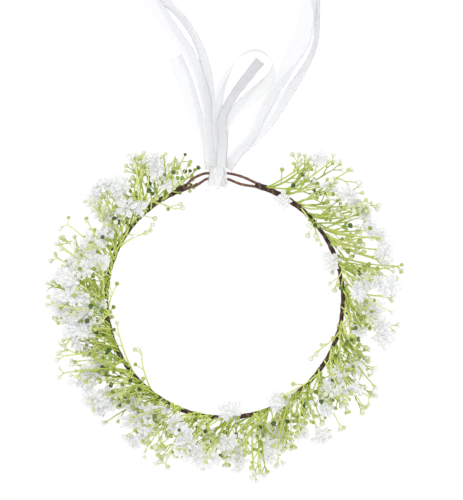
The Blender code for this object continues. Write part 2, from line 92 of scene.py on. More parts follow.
class Flow:
    """A value on its way through a material. Sums written on it become Math nodes."""

    def __init__(self, finish, socket):
        self.finish = finish
        self.socket = socket

    def maths(self, operation, *terms):
        return self.finish.node("ShaderNodeMath", {"operation": operation}, dict(enumerate(terms)))

    def __add__(self, other):
        return self.maths("ADD", self, other)

    __radd__ = __add__

    def __sub__(self, other):
        return self.maths("SUBTRACT", self, other)

    def __rsub__(self, other):
        return self.maths("SUBTRACT", other, self)

    def __mul__(self, other):
        return self.maths("MULTIPLY", self, other)

    __rmul__ = __mul__

    def wave(self):
        return self.maths("SINE", self)

    def size(self):
        return self.maths("ABSOLUTE", self)

    def held(self):
        """Kept between 0 and 1."""
        return self.finish.node("ShaderNodeClamp", {}, {"Value": self})


class Finish:
    """One material, built around its Principled shader."""

    def __init__(self, name, **fixed):
        self.material = bpy.data.materials.new(name)
        self.material.use_nodes = True
        self.tree = self.material.node_tree
        self.shader = self.tree.nodes["Principled BSDF"]
        for socket, value in fixed.items():
            self.plug(value, self.shader.inputs[socket.replace("_", " ")])

    def plug(self, value, socket):
        if isinstance(value, Flow):
            self.tree.links.new(value.socket, socket)
        elif isinstance(value, tuple) and len(value) == 3 and socket.type == "RGBA":
            socket.default_value = (*value, 1)
        else:
            socket.default_value = value

    def node(self, kind, settings, sockets, output=0):
        """A node of this kind: its settings go in first, then its sockets' values or links."""
        made = self.tree.nodes.new(kind)
        for name, value in settings.items():
            if name == "stops":
                ramp = made.color_ramp.elements
                while len(ramp) < len(value):
                    ramp.new(1)
                for stop, (place, colour) in zip(ramp, value):
                    stop.position = place
                    stop.color = (*colour, 1)
            else:
                setattr(made, name, value)
        for name, value in sockets.items():
            self.plug(value, made.inputs[name])
        return Flow(self, made.outputs[output])

    def mark(self, name):
        """A number kept at the mesh's corners."""
        return self.node("ShaderNodeAttribute", {"attribute_name": name}, {}, "Fac")

    def place(self):
        return self.node("ShaderNodeTexCoord", {}, {}, "Object")

    def mottle(self, grain, detail=3.0, roughness=0.55, stretch=None):
        """Soft noise whose blotches are about grain metres across."""
        where = self.place()
        if stretch is not None:
            where = self.node("ShaderNodeMapping", {}, {"Vector": where, "Scale": stretch})
        sockets = {"Vector": where, "Scale": 1 / grain, "Detail": detail, "Roughness": roughness}
        return self.node("ShaderNodeTexNoise", {}, sockets, "Fac")

    def ramp(self, value, *stops):
        return self.node("ShaderNodeValToRGB", {"stops": stops}, {"Fac": value}, "Color")

    def mix(self, share, low, high):
        """A colour between low and high."""
        return self.node("ShaderNodeMix", {"data_type": "RGBA"}, {0: share, 6: low, 7: high}, 2)

    def step(self, value, low, high):
        """0 below low, 1 above high, and a straight climb between."""
        sockets = {"Value": value, "From Min": low, "From Max": high}
        return self.node("ShaderNodeMapRange", {}, sockets)

    def colour(self, value):
        self.plug(value, self.shader.inputs["Base Color"])

    def roughness(self, value):
        self.plug(value, self.shader.inputs["Roughness"])

    def alpha(self, value):
        self.plug(value, self.shader.inputs["Alpha"])

    def painted_glow(self, colour, strength):
        """Painted light: an emission that brightens the surface though it is no lamp."""
        self.plug(colour, self.shader.inputs["Emission Color"])
        self.plug(strength, self.shader.inputs["Emission Strength"])

    def relief(self, height, depth, strength=1.0):
        """Bump of that depth in metres where height runs from 0 to 1."""
        sockets = {"Height": height, "Distance": depth, "Strength": strength}
        self.plug(self.node("ShaderNodeBump", {}, sockets), self.shader.inputs["Normal"])


def tape_finish(name, dark, light, ridge_colour):
    """Stretched crepe-paper tape: fine cross wrinkles, and a paler colour along the ridge at each turn of the
    winding.
    """
    finish = Finish(name, Specular_IOR_Level=0.25)
    edge = finish.mark("edge")
    cloud = finish.mottle(2.2 * MM)
    crepe = finish.mottle(0.28 * MM, 2.0)
    body = finish.mix(finish.step(cloud, 0.32, 0.70), dark, light)
    # paler along the raised ridge at each turn of the winding
    finish.colour(finish.mix((edge * finish.step(crepe, 0.30, 0.62)).held(), body, ridge_colour))
    finish.roughness(0.62 + crepe * 0.3)
    finish.relief(crepe * 0.7 + cloud * 0.3, 0.25 * MM, 0.8)
    return finish.material


def sprig_finish():
    """Moulded soft plastic: yellow-green stems, with buds from deep green to a frosted grey-green."""
    finish = Finish("sprig_plastic", Specular_IOR_Level=0.45)
    bud, tone = finish.mark("bud"), finish.mark("tone")
    cloud = finish.mottle(3.0 * MM)
    grain = finish.mottle(0.35 * MM, 2.0)
    stem = finish.ramp(
        (tone * 0.75 + cloud * 0.35).held(),
        (0.0, (0.120, 0.200, 0.018)),
        (0.30, (0.400, 0.510, 0.062)),
        (0.60, (0.660, 0.730, 0.190)),
        (1.0, (0.800, 0.820, 0.410)),
    )
    head = finish.ramp(
        (tone + (cloud - 0.5) * 0.12).held(),
        (0.0, (0.020, 0.050, 0.014)),
        (0.20, (0.070, 0.130, 0.026)),
        (0.38, (0.280, 0.380, 0.045)),
        (0.62, (0.550, 0.615, 0.200)),
        (0.80, (0.700, 0.740, 0.520)),
        (1.0, (0.870, 0.880, 0.870)),
    )
    finish.colour(finish.mix(bud, stem, head))
    finish.roughness(0.36 + grain * 0.22 + bud * tone * 0.25)
    finish.relief(grain, 0.10 * MM, 0.5)
    return finish.material


# Light that spreads inside thin cloth
SOFT_LIGHT = {"Subsurface_Weight": 0.5, "Subsurface_Radius": (1, 1, 1), "Subsurface_Scale": 1.2 * MM}
# Painted light: emission strength that lightens the petals though they are no lamp
PETAL_PAINTED_GLOW = 0.12
THREAD_PITCH = 0.34 * MM  # of the organza's weave
THREAD_MEAN = 0.64  # of the woven thread pattern over the cloth


def petal_finish():
    """White woven fabric with stiffened, slightly see-through cut edges and a green-grey heart."""
    finish = Finish(
        "petal_fabric", Specular_IOR_Level=0.2, Sheen_Weight=0.25, Sheen_Roughness=0.6, **SOFT_LIGHT
    )
    # painted light: the petals glow as though lit, though they are no lamp
    finish.painted_glow((0.97, 0.98, 1.0), PETAL_PAINTED_GLOW)
    edge, tone = finish.mark("edge"), finish.mark("tone")
    weave = finish.mottle(0.16 * MM, 2.0, 0.6)
    cloud = finish.mottle(4.0 * MM, 2.0)
    white = finish.mix(finish.step(cloud, 0.35, 0.70), (0.725, 0.732, 0.756), (0.785, 0.788, 0.780))
    shaded = finish.mix(finish.step(tone, 0.55, 1.0), white, (0.710, 0.718, 0.742))
    finish.colour(finish.mix(finish.step(edge, 0.02, 0.40), (0.640, 0.690, 0.520), shaded))
    finish.roughness(0.72 + weave * 0.2)
    finish.relief(weave, 0.10 * MM, 0.6)
    return finish.material


def organza_finish(name, thin, thick, shade=1.0):
    """Sheer plain weave with a closer-woven selvedge down each side, its colour painted lighter near the knot
    to offset the shade between its gathered layers; a shade below 1 darkens it with painted shade.
    """
    finish = Finish(name, Specular_IOR_Level=0.3, Sheen_Weight=0.12, Sheen_Roughness=0.4)
    across, along, edge = finish.mark("across"), finish.mark("along"), finish.mark("edge")
    gathered = finish.mark("gathered")
    warp = (across * (math.pi / THREAD_PITCH)).wave().size()
    weft = (along * (math.pi / THREAD_PITCH)).wave().size()
    thread = warp * 0.5 + weft * 0.5
    cloud = finish.mottle(5.0 * MM, 2.0)
    # shade below 1 scales the colour down: a darker copy of the cloth with painted shade
    low = (0.775 * shade, 0.782 * shade, 0.810 * shade)
    high = (0.815 * shade, 0.821 * shade, 0.843 * shade)
    body = finish.mix(finish.step(cloud, 0.3, 0.7), low, high)
    # painted light: near the knot the colour turns whiter, against the shade its layers cast on each other
    finish.colour(finish.mix(gathered, body, (0.935 * shade, 0.940 * shade, 0.955 * shade)))
    finish.roughness(0.38 + thread * 0.2)
    finish.alpha((thin + (thread - THREAD_MEAN) * 0.22 + edge * (thick - thin)).held())
    finish.relief(thread, 0.06 * MM, 0.5)
    return finish.material


def steel_finish():
    """Drawn steel wire with a dull zinc skin."""
    finish = Finish("wire_steel", Metallic=1.0)
    streak = finish.mottle(0.9 * MM, 3.0, 0.6, (1, 1, 6))
    finish.colour(finish.mix(streak, (0.34, 0.33, 0.31), (0.56, 0.55, 0.53)))
    finish.roughness(0.30 + streak * 0.25)
    finish.relief(streak, 0.03 * MM, 0.4)
    return finish.material


def floor_finish():
    """A pale table lit from below, as a light table is, so that nothing throws a dark shadow on it."""
    finish = Finish("light_table", Roughness=0.9, Emission_Color=(1, 1, 1), Emission_Strength=0.90)
    grain = finish.mottle(40 * MM, 2.0)
    finish.colour(finish.mix(grain, (0.11, 0.11, 0.11), (0.13, 0.13, 0.13)))
    return finish.material


# --- mesh building ---


class Form:
    """The corners and faces of one piece, and the numbers kept at its corners."""

    def __init__(self, *marks):
        self.corners = []
        self.faces = []
        self.marks = {mark: [] for mark in marks}

    def corner(self, place, **marks):
        self.corners.append(tuple(place))
        for mark, values in self.marks.items():
            values.append(marks.get(mark, 0.0))
        return len(self.corners) - 1

    def bridge(self, ring, following, closed=True):
        """Faces between two rows of corners."""
        count = len(ring)
        for step in range(count if closed else count - 1):
            ahead = (step + 1) % count
            self.faces.append((ring[step], ring[ahead], following[ahead], following[step]))

    def fan(self, ring, tip, inward):
        count = len(ring)
        for step in range(count):
            ahead = (step + 1) % count
            self.faces.append((tip, ring[ahead], ring[step]) if inward else (tip, ring[step], ring[ahead]))

    def piece(self, name, material, body, slot, replaced=(), thickness=0.0):
        """The finished piece, riding on its body."""
        mesh = bpy.data.meshes.new(name)
        mesh.from_pydata(self.corners, [], self.faces)
        for mark, values in self.marks.items():
            mesh.attributes.new(mark, "FLOAT", "POINT").data.foreach_set("value", values)
        mesh.shade_smooth()
        mesh.materials.append(material)
        made = bpy.data.objects.new(name, mesh)
        bpy.context.scene.collection.objects.link(made)
        if thickness:
            wall = made.modifiers.new("wall", "SOLIDIFY")
            wall.thickness = thickness
            wall.offset = 0
        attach(made, body)
        if replaced:
            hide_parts(*replaced)
        return made


def mix(low, high, share):
    return low + (high - low) * share


def ease(share):
    share = min(max(share, 0), 1)
    return share * share * (3 - 2 * share)


def square_to(direction):
    """Two directions square to this one and to each other."""
    helper = UP if abs(direction.z) < 0.9 else Vector((1, 0, 0))
    side = direction.cross(helper).normalized()
    return side, direction.cross(side).normalized()


def sweep(form, points, radii, sides, **marks):
    """A closed round form along points. Its two ends close to a point; marks hold a number a point."""
    points = [Vector(point) for point in points]
    count = len(points)
    heading = (points[1] - points[0]).normalized()
    side = square_to(heading)[0]
    first = form.corner(points[0], **{mark: values[0] for mark, values in marks.items()})
    last_ring = None
    for index in range(1, count - 1):
        ahead = (points[index + 1] - points[index - 1]).normalized()
        side = heading.rotation_difference(ahead) @ side
        heading = ahead
        other = heading.cross(side)
        here = {mark: values[index] for mark, values in marks.items()}
        ring = []
        for step in range(sides):
            turn = math.tau * step / sides
            out = side * math.cos(turn) + other * math.sin(turn)
            ring.append(form.corner(points[index] + out * radii[index], **here))
        if last_ring is None:
            form.fan(ring, first, True)
        else:
            form.bridge(last_ring, ring)
        last_ring = ring
    last = form.corner(points[-1], **{mark: values[-1] for mark, values in marks.items()})
    form.fan(last_ring, last, False)


def hoop_frame(turn):
    """The point on the hoop's centre line, and the outward and clockwise directions there."""
    outward = Vector((math.cos(turn), math.sin(turn), 0))
    clockwise = Vector((math.sin(turn), -math.cos(turn), 0))
    return outward * HOOP_RADIUS + UP * HOOP_HEIGHT, outward, clockwise


# --- hoop, loops and bindings ---

WRAP_PITCH = 7.5 * MM  # from one turn of the winding to the next
WRAP_STEP = 0.30 * MM  # the ridge at a turn's edge
WRAP_SIDES = 18
RIDGE_TOP = 0.78  # share of the pitch where the ridge has climbed to its height
RIDGE_DROP = 0.82  # and where it starts to fall
HOOP_TAPE_RADIUS = 1.50 * MM
BOUND_SWELL = 0.22 * MM  # where a bunch is bound in
END_SWELL = 0.55 * MM  # toward the hoop's two ends
END_RUN = 50 * MM
BINDING_END_RADIUS = 1.65 * MM
BINDING_SWELL = 0.75 * MM
LOOP_SEAT = 5 * MM  # how far a loop's legs reach into the binding
LOOP_STRAIGHT = 1.3  # where a loop runs straight into the knot, in half knot lengths from its centre
LOOP_WIDE_SHARE = 0.61  # how far from the binding to the knot a loop is at its widest
LOOP_TIP = 3.15 * MM  # the bend's centre, from the knot's
LOOP_TIP_RADIUS = 1.6  # millimetres, as are the half widths of its legs
LOOP_LEG, LOOP_WIDEST, LOOP_ENTRY = 1.4, 2.8, 2.2
LOOP_BEND_STEPS = 10


def wound_tube(form, place_of, length, radius_of, run):
    """A round tube wound with tape: a ridge climbs round it once a pitch. Both ends are closed."""
    rows = math.ceil(length / run)
    centres = [place_of(length * row / rows) for row in range(rows + 1)]
    last_ring = None
    for row, centre in enumerate(centres):
        ahead = (centres[min(row + 1, rows)] - centres[max(row - 1, 0)]).normalized()
        side = ahead.cross(UP).normalized()
        rise = side.cross(ahead)
        along = length * row / rows
        ring = []
        for step in range(WRAP_SIDES):
            turn = math.tau * step / WRAP_SIDES
            lap = (along / WRAP_PITCH + step / WRAP_SIDES) % 1
            ridge = ease(lap / RIDGE_TOP) * (1 - ease((lap - RIDGE_DROP) / (1 - RIDGE_DROP)))
            lump = noise.noise(Vector((along / 0.009, turn * 0.6, radius_of(0) * 4000)))
            crease = noise.noise(Vector((along / 0.0022, turn * 2.0, 3.1)))
            radius = radius_of(along) * (1 + 0.12 * lump + 0.05 * crease) + WRAP_STEP * (ridge - 0.5)
            out = side * math.cos(turn) + rise * math.sin(turn)
            ring.append(form.corner(centre + out * radius, edge=ease((ridge - 0.72) / 0.28)))
        if last_ring is None:
            form.fan(ring, form.corner(centre), True)
        else:
            form.bridge(last_ring, ring)
        last_ring = ring
    form.fan(last_ring, form.corner(centres[-1]), False)


def hoop(material):
    """The taped hoop: uneven where stems are bound in, and thicker toward its two ends."""
    form = Form("edge")
    margin = (BINDING_LENGTH / 2 - 1.5 * MM) / HOOP_RADIUS
    start, end = LEFT_BINDING + margin, RIGHT_BINDING + math.tau - margin
    length = (end - start) * HOOP_RADIUS

    def radius(along):
        lead = 1 - min(along, length - along) / END_RUN
        bunches = math.tau * along / (HOOP_RADIUS * math.radians(-ROOT_STEP))
        bound = BOUND_SWELL * (0.5 + 0.5 * math.cos(bunches))
        return HOOP_TAPE_RADIUS + bound + END_SWELL * ease(lead)

    wound_tube(form, lambda along: hoop_frame(start + along / HOOP_RADIUS)[0], length, radius, 0.9 * MM)
    form.piece("hoop_tape_winding", material, "crown", "tape", ["hoop_tape"])


def binding(name, turn, node, material):
    """Tape coiled tight over the hoop's end and the loop's legs."""
    form = Form("edge")
    length = BINDING_LENGTH * 1.08
    centre, _, clockwise = hoop_frame(turn)

    def radius(along):
        ends = min(along, length - along) / length
        return BINDING_END_RADIUS + BINDING_SWELL * ease(ends * 4.5)

    wound_tube(form, lambda along: centre + clockwise * (along - length / 2), length, radius, 0.45 * MM)
    form.piece(name, material, "crown", "tape", [node])


def smooth_route(rows, longest_run):
    """Rows on a Catmull-Rom curve through the given rows; longest_run gives the spacing after a row."""
    rows = [Vector(row) for row in rows]
    ends = [rows[0] * 2 - rows[1]] + rows + [rows[-1] * 2 - rows[-2]]
    route = []
    for index in range(len(rows) - 1):
        before, here, there, after = ends[index : index + 4]
        steps = max(1, math.ceil((there.xyz - here.xyz).length / longest_run))
        for step in range(steps):
            t = step / steps
            route.append(
                (
                    here * 2
                    + (there - before) * t
                    + (before * 2 - here * 5 + there * 4 - after) * t * t
                    + (here * 3 - before - there * 3 + after) * t**3
                )
                / 2
            )
    route.append(rows[-1])
    return route


def wire_loop(name, turn, side, node, material):
    """A folded length of paper-covered wire: out from the binding, round a tip inside the knot, and back."""
    centre, _, clockwise = hoop_frame(turn)
    toward_knot = clockwise * -side
    mouth = centre + toward_knot * (BINDING_LENGTH / 2)
    seat = mouth - toward_knot * LOOP_SEAT
    entry = KNOT_CENTRE + Vector((side * LOOP_STRAIGHT * KNOT_LENGTH / 2, 0, 0))
    widest = centre.lerp(entry, LOOP_WIDE_SHARE)
    tip = KNOT_CENTRE + Vector((side * LOOP_TIP, 0, 0))
    bends = [
        (seat, LOOP_LEG),
        (mouth, LOOP_LEG),
        (widest, LOOP_WIDEST),
        (entry, LOOP_ENTRY),
        (tip, LOOP_TIP_RADIUS),
    ]
    middle = smooth_route([(*point, half * MM) for point, half in bends], 1.2 * MM)
    left, right = [], []
    for index, row in enumerate(middle):
        ahead = middle[min(index + 1, len(middle) - 1)] - middle[max(index - 1, 0)]
        offset = Vector((-ahead.y, ahead.x, 0)).normalized() * row[3]
        left.append(row.xyz + offset)
        right.append(row.xyz - offset)
    forward = (middle[-1].xyz - middle[-2].xyz).normalized()
    across = Vector((-forward.y, forward.x, 0))
    turns = [math.pi * step / LOOP_BEND_STEPS for step in range(1, LOOP_BEND_STEPS)]
    bend = [tip + (across * math.cos(a) + forward * math.sin(a)) * LOOP_TIP_RADIUS * MM for a in turns]
    route = left + bend + right[::-1]
    form = Form("edge")
    radii, edges = [], []
    for index in range(len(route)):
        lap = (index * 0.23) % 1
        radii.append(0.94 * MM + 0.12 * MM * lap)
        edges.append(ease((lap - 0.6) / 0.4))
    sweep(form, route, radii, 12, edge=edges)
    form.piece(name, material, "crown", "loop_wire", [node])


# --- ribbon ---

# Routes as laid, from the knot's centre: x, y, layer, width, and tilt in degrees from flat to on edge.
LONG_LOOP_LEFT = (
    (-0.0030, 0, 1.0, 0.0075, 0),
    (-0.0044, 0.0349, 1.0, 0.0088, 0),
    (-0.0058, 0.0575, 1.0, 0.0090, 0),
    (-0.0078, 0.0787, 1.0, 0.0080, 0),
    (-0.0116, 0.0952, 1.0, 0.0066, 0),
    (-0.0185, 0.1103, 1.0, 0.0058, 0),
    (-0.0274, 0.1231, 1.0, 0.0055, 0),
    (-0.0372, 0.1329, 1.0, 0.0065, 0),
    (-0.0505, 0.1450, 1.2, 0.0105, 0),
    (-0.0611, 0.1548, 2.0, 0.0130, 0),
    (-0.0637, 0.1572, 3.6, 0.0130, 0),
    (-0.0605, 0.1534, 5.0, 0.0130, 0),
    (-0.0543, 0.1437, 4.4, 0.0130, 0),
    (-0.0483, 0.1329, 3.4, 0.0115, 0),
    (-0.0317, 0.1096, 2.2, 0.0095, 0),
    (-0.0230, 0.0975, 2.0, 0.0090, 0),
    (-0.0164, 0.0854, 2.0, 0.0085, 0),
    (-0.0119, 0.0726, 2.0, 0.0080, 0),
    (-0.0085, 0.0575, 2.0, 0.0080, 0),
    (-0.0061, 0.0349, 2.0, 0.0080, 0),
    (-0.0038, 0, 2.0, 0.0075, 0),
)
LONG_LOOP_RIGHT = (
    (0.0083, 0, 0.0, 0.0070, 0),
    (0.0173, 0.0198, 0.0, 0.0085, 0),
    (0.0271, 0.0289, 0.0, 0.0095, 0),
    (0.0407, 0.0455, 0.0, 0.0100, 0),
    (0.0514, 0.0606, 0.0, 0.0088, 0),
    (0.0618, 0.0756, 0.0, 0.0066, 0),
    (0.0715, 0.0922, 0.0, 0.0046, 0),
    (0.0759, 0.1058, 0.0, 0.0042, 0),
    (0.0767, 0.1209, 0.0, 0.0046, 0),
    (0.0760, 0.1329, 0.0, 0.0065, 0),
    (0.0745, 0.1465, 0.3, 0.0115, 0),
    (0.0725, 0.1566, 1.2, 0.0130, 0),
    (0.0717, 0.1594, 2.8, 0.0130, 0),
    (0.0712, 0.1562, 4.2, 0.0130, 0),
    (0.0701, 0.1465, 3.6, 0.0130, 0),
    (0.0698, 0.1329, 2.4, 0.0130, 0),
    (0.0682, 0.1190, 1.4, 0.0130, 0),
    (0.0642, 0.1050, 1.0, 0.0140, 0),
    (0.0573, 0.0920, 1.0, 0.0130, 0),
    (0.0508, 0.0787, 1.0, 0.0100, 0),
    (0.0432, 0.0650, 1.0, 0.0085, 0),
    (0.0335, 0.0480, 1.0, 0.0085, 0),
    (0.0252, 0.0310, 1.0, 0.0088, 0),
    (0.0163, 0.0196, 1.0, 0.0085, 0),
    (0.0079, 0, 1.0, 0.0070, 0),
)
SMALL_LOOP = (
    (0.0015, 0, 3.0, 0.0070, 0),
    (0.0007, 0.0349, 3.0, 0.0075, 0),
    (0.0000, 0.0538, 3.0, 0.0080, 8),
    (0.0029, 0.0672, 3.0, 0.0100, 42),
    (0.0082, 0.0787, 3.0, 0.0115, 66),
    (0.0152, 0.0894, 2.6, 0.0130, 84),
    (0.0257, 0.0962, 2.2, 0.0130, 90),
    (0.0354, 0.0945, 2.2, 0.0130, 90),
    (0.0414, 0.0880, 2.4, 0.0130, 82),
    (0.0419, 0.0800, 2.8, 0.0130, 66),
    (0.0363, 0.0708, 3.4, 0.0125, 42),
    (0.0264, 0.0613, 4.0, 0.0110, 14),
    (0.0164, 0.0532, 4.0, 0.0090, 0),
    (0.0090, 0.0455, 4.0, 0.0080, 0),
    (0.0052, 0.0349, 4.0, 0.0075, 0),
    (0.0037, 0, 4.0, 0.0070, 0),
)
SHORT_TAIL_LEFT = (
    (-0.0055, 0, 0.0, 0.0070, 0),
    (-0.0085, 0.0221, 0.0, 0.0080, 0),
    (-0.0145, 0.0425, 0.0, 0.0095, 0),
    (-0.0204, 0.0613, 0.0, 0.0110, 0),
    (-0.0264, 0.0780, 0.0, 0.0122, 0),
    (-0.0325, 0.0930, 0.0, 0.0110, 0),
)
SHORT_TAIL_RIGHT = (
    (0.0027, 0, 5.0, 0.0070, 0),
    (0.0045, 0.0266, 5.0, 0.0070, 0),
    (0.0036, 0.0432, 5.0, 0.0066, 0),
    (0.0068, 0.0528, 5.0, 0.0064, 0),
    (0.0132, 0.0634, 4.8, 0.0066, 0),
    (0.0220, 0.0754, 4.4, 0.0074, 0),
    (0.0328, 0.0892, 4.2, 0.0080, 0),
)
RIBBON_ROUTES = {
    "long_loop_left": LONG_LOOP_LEFT,
    "long_loop_right": LONG_LOOP_RIGHT,
    "small_loop": SMALL_LOOP,
    "short_tail_left": SHORT_TAIL_LEFT,
    "short_tail_right": SHORT_TAIL_RIGHT,
}
RIBBON_COLUMNS = 30
FOLD_STEP = 0.32 * MM  # between the layers of a ribbon folded lengthwise
GATHER_END = 75 * MM  # behind the knot's centre, where the strands have spread apart and the painted light near the knot has faded out
KNOT_TUCK = 6 * MM  # behind the knot's centre, where each strand starts inside the wraps
ROUTE_STEP = 2.4 * MM  # longest run between a strand's rows
LAYER_UNIT = 0.001  # keeps a layer's number small beside the lengths in a route
TABLE_GAP = 0.2 * MM  # under the lowest layer
LOWEST_CLOTH = 0.15 * MM
PLEAT_DEPTH = 0.09 * MM
BILLOW_DEPTH = 0.4 * MM
KNOT_TURNS = 3.45
KNOT_ROWS = 190
LOOSE_START, LOOSE_END = 9, 14  # rows at the wraps' start and end that stand loose


def drop_height(behind):
    """Height that the ribbon still has above its resting layer, at this distance behind the knot's centre."""
    rise = HOOP_HEIGHT - TABLE_GAP - RIBBON_MIDDLE_LAYER * RIBBON_LAYER
    return rise * ease(1 - (behind - KNOT_RADIUS) / RIBBON_DROP_RUN)


def folded(along, width):
    """Where a point this far across the cloth lies when the cloth is folded lengthwise to width.

    Gives its offset from the middle and how many folds lie under it.
    """
    layer, rest = divmod(along, width)
    return (rest if layer % 2 == 0 else width - rest) - width / 2, layer + ease(rest / width * 3 - 2)


def strand(name, rows, material):
    """One strand of the ribbon at its full cut width, folded lengthwise where it is drawn in."""
    start = [
        (x, y or KNOT_TUCK, layer * LAYER_UNIT, width, math.radians(tilt))
        for x, y, layer, width, tilt in rows
    ]
    route = smooth_route(start, ROUTE_STEP)
    form = Form("across", "along", "edge", "gathered")
    across = Vector((1, 0))
    run = 0.0
    last_row = None
    for index, (x, y, layer, width, tilt) in enumerate(route):
        ahead = (route[min(index + 1, len(route) - 1)] - route[max(index - 1, 0)]).xyz
        flat = Vector((ahead.y, -ahead.x))
        if flat.length > 0.2 * ahead.length:
            across = flat.normalized() * math.copysign(1, flat.dot(across))
        if index:
            run += (route[index].xy - route[index - 1].xy).length
        row = []
        for step in range(RIBBON_COLUMNS + 1):
            cut = RIBBON_WIDTH * step / RIBBON_COLUMNS
            offset, fold = folded(cut, min(width, RIBBON_WIDTH))
            pleat = noise.noise(Vector((cut / 0.0030, run / 0.030, len(name) * 1.7)))
            billow = noise.noise(Vector((cut / 0.009, run / 0.040, len(name) * 3.1)))
            lift = fold * FOLD_STEP + PLEAT_DEPTH * (pleat + 1)
            lift += BILLOW_DEPTH * (billow + 0.6) * (width / RIBBON_WIDTH)
            place = Vector((x, y)) + across * (offset * math.cos(tilt) - lift * math.sin(tilt))
            low = TABLE_GAP + layer / LAYER_UNIT * RIBBON_LAYER + drop_height(place.y)
            height = low + (offset + width / 2) * math.sin(tilt) + lift * math.cos(tilt)
            selvedge = float(step in (0, RIBBON_COLUMNS))
            corner = (KNOT_CENTRE.x + place.x, KNOT_CENTRE.y + place.y, max(height, LOWEST_CLOTH))
            # painted light: the strand's colour is lightened near the knot, fading out by GATHER_END
            near = ease((GATHER_END - place.y) / GATHER_END)
            row.append(form.corner(corner, across=cut, along=run, edge=selvedge, gathered=near))
        if last_row is not None:
            form.bridge(last_row, row, closed=False)
        last_row = row
    made = form.piece(f"ribbon_{name}", material, "ribbon", "organza", [name])


def knot(material):
    """The tied middle: about three and a half pleated turns of the ribbon round the wire loops' tips."""
    form = Form("across", "along", "edge", "gathered")
    last_row = None
    run = 0.0
    before = None
    for index in range(KNOT_ROWS + 1):
        turn = math.tau * KNOT_TURNS * index / KNOT_ROWS
        loose = ease(1 - index / LOOSE_START) + ease((index - KNOT_ROWS + LOOSE_END) / LOOSE_END)
        slide = 3.4 * MM * math.sin(turn * 0.41 + 0.9) - 2.5 * MM * loose
        radius = mix(5.2, 7.6, index / KNOT_ROWS) * MM + 4.5 * MM * loose
        width = mix(6.0, 9.5, 0.5 + 0.5 * math.sin(turn * 0.63)) * MM + 3 * MM * loose
        row = []
        for step in range(RIBBON_COLUMNS + 1):
            cut = RIBBON_WIDTH * step / RIBBON_COLUMNS
            offset, fold = folded(cut, width)
            pleat = noise.noise(Vector((cut / 0.0019, turn * 0.9, 8.3)))
            bulge = noise.noise(Vector((cut / 0.006, turn * 1.3, 2.2)))
            out = radius + fold * 0.4 * MM + 1.0 * MM * pleat + 2.0 * MM * bulge
            skew = offset * 0.5 * math.sin(turn * 0.8) / radius
            spin = Vector((0, math.cos(turn + skew), math.sin(turn + skew)))
            place = KNOT_CENTRE + Vector((slide + offset, 0, 0)) + spin * out
            if step == RIBBON_COLUMNS // 2:
                run += 0 if before is None else (place - before).length
                before = place
            selvedge = float(step in (0, RIBBON_COLUMNS))
            # painted light: the knot's wraps are painted lighter all over, against the shade between its layers
            row.append(form.corner(place, across=cut, along=run, edge=selvedge, gathered=1.0))
        if last_row is not None:
            form.bridge(last_row, row, closed=False)
        last_row = row
    made = form.piece("ribbon_knot_wraps", material, "ribbon", "organza", ["ribbon_knot"])


# --- sprigs ---

STEM_SIDES = 8
STEM_STEPS = 14
STEM_FOOT, STEM_TIP = 0.66 * MM, 0.44 * MM
BUD_LENGTH = 2.25  # over its radius
# A bud's outline from foot to tip: share of its length, and share of its radius
BUD_PROFILE = (
    (0.10, 0.34), (0.26, 0.50), (0.42, 0.78), (0.57, 0.96), (0.70, 1.0), (0.83, 0.86), (0.94, 0.52),
)


class Bunch:
    """One bunch of sprigs: where it is bound to the hoop, and its stems and petals."""

    def __init__(self, number):
        self.number = number
        self.turn = FIRST_ROOT + ROOT_STEP * (number - 1)
        self.centre, self.outward, self.clockwise = hoop_frame(math.radians(self.turn))
        self.dice = random.Random(BUNCH_SEED + number)
        # How much the bunch hides the hoop: 0 at the right of the back, 1 opposite
        self.cover = 0.5 - 0.5 * math.cos(math.radians(self.turn - 45))
        self.stems = Form("bud", "tone")
        self.petals = Form("edge", "tone")

    def root(self):
        """A place on the tape, over the top and the inner side where the bunch covers the hoop."""
        around = math.radians(self.dice.uniform(mix(-60, 50, self.cover), mix(90, 190, self.cover)))
        shift = self.dice.uniform(-10, 10) * MM
        out = self.outward * math.cos(around) + UP * math.sin(around)
        return self.centre + self.clockwise * shift + out * (TAPE_RADIUS + 0.3 * MM)

    def kept_in(self, place):
        """The place, held to the tips' heights and the rim, and eased off the head's room and the ribbon."""
        place = place.copy()
        place.z = min(max(place.z, LOWEST_TIP), HIGHEST_TIP)
        place.y = min(place.y, mix(REAR_LIMIT, place.y, 0.2))
        flat = place.xy.length
        least, most = HOOP_RADIUS - INNER_REACH, RIM - RIM_MARGIN
        if flat < least:
            place.xy *= mix(least / flat, 1, 0.6)
        if flat > most:
            place.xy *= most / flat
        return place


def stem_line(bunch, root, tip, steps, sag=0.0):
    """A stem's centre line: it leaves along the hoop and swings outward."""
    run = tip - root
    lead, reach = run.dot(bunch.clockwise), run.dot(bunch.outward)
    wiggle = bunch.dice.uniform(-1, 1)
    line = []
    for step in range(steps + 1):
        s = step / steps
        place = root + bunch.clockwise * lead * s + bunch.outward * reach * s**1.45
        place += UP * (run.z * s**1.35 + sag * math.sin(math.pi * s))
        place += bunch.clockwise * (1.1 * MM * wiggle * math.sin(math.tau * s))
        line.append(place)
    return line


def stem(bunch, line, foot, tip, tone, joints=()):
    """A tapered stem along its line, a little swollen at each joint."""
    count = len(line)
    radii = []
    for index in range(count):
        s = index / (count - 1)
        swell = sum(math.exp(-(((s - joint) / 0.035) ** 2)) for joint in joints)
        radii.append(mix(foot, tip, s) * (1 + 0.45 * swell))
    tones = [tone * (0.55 + 0.45 * index / (count - 1)) for index in range(count)]
    sweep(bunch.stems, line, radii, STEM_SIDES, tone=tones)


